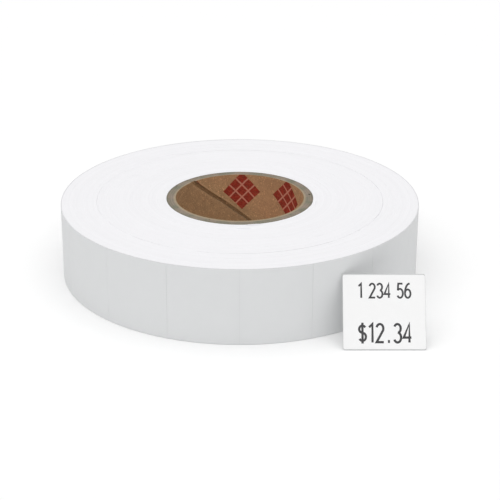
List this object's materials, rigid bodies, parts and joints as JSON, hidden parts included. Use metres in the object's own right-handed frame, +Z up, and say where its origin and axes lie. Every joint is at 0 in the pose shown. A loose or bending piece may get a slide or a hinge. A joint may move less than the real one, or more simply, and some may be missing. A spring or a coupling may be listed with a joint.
{
  "type": "price label roll",
  "caption": "Roll of plain white self-adhesive price labels wound on a paperboard core, lying flat, with one loose sample label leaning on its side.",
  "frame": {"origin": "on the bore's axis, at the lower end face that the roll lies on", "axes": "+Z up along the bore, -Y towards the side where the sample label leans, +X to its right"},
  "size_m": [0.106, 0.1092, 0.0224],
  "materials": {
    "core_lining": "raw kraft lining with a spiral seam",
    "core_kraft": "raw cut board edge",
    "wound_tape": "slit paper edges",
    "release_liner": "smooth coated release paper",
    "label_paper": "matt uncoated label face",
    "printed_label": "matt label face with printed digits"
  },
  "bodies": {
    "roll": {"core_inner_ply": "core_lining", "core_ply_2": "core_kraft", "core_ply_3": "core_kraft", "core_ply_4": "core_kraft", "core_outer_ply": "core_kraft", "inner_windings": "wound_tape", "outer_windings": "wound_tape", "outer_liner_turn": "release_liner", "roll_label_01": "label_paper", "roll_label_02": "label_paper", "roll_label_03": "label_paper", "roll_label_04": "label_paper", "roll_label_05": "label_paper", "roll_label_06": "label_paper", "roll_label_07": "label_paper", "roll_label_08": "label_paper", "roll_label_09": "label_paper", "roll_label_10": "label_paper", "roll_label_11": "label_paper", "roll_label_12": "label_paper", "roll_label_13": "label_paper", "roll_label_14": "label_paper", "roll_label_15": "label_paper"},
    "leading_end": {"leading_liner_tail": "release_liner"},
    "first_label": {"leading_label": "label_paper"},
    "sample": {"sample_liner": "release_liner"},
    "sample_face": {"sample_label": "printed_label"}
  },
  "joints": [
    {"name": "leading_end_peel", "type": "hinge", "parent": "roll", "child": "leading_end", "pos_m": [0.02475, 0.04687, 0.01115], "axis": [0, 0, -1], "range_deg": [0, 75]},
    {"name": "first_label_peel", "type": "hinge", "parent": "leading_end", "child": "first_label", "pos_m": [0.02475, 0.04687, 0.01115], "axis": [0, 0, -1], "range_deg": [0, 60]},
    {"name": "sample_lift", "type": "slide", "parent": "roll", "child": "sample", "axis": [0, 0, 1], "range_m": [0, 0.03]},
    {"name": "sample_label_peel", "type": "hinge", "parent": "sample", "child": "sample_face", "pos_m": [0.0388, -0.0562, 0.00035], "axis": [1, 0, 0], "range_deg": [0, 75]}
  ]
}
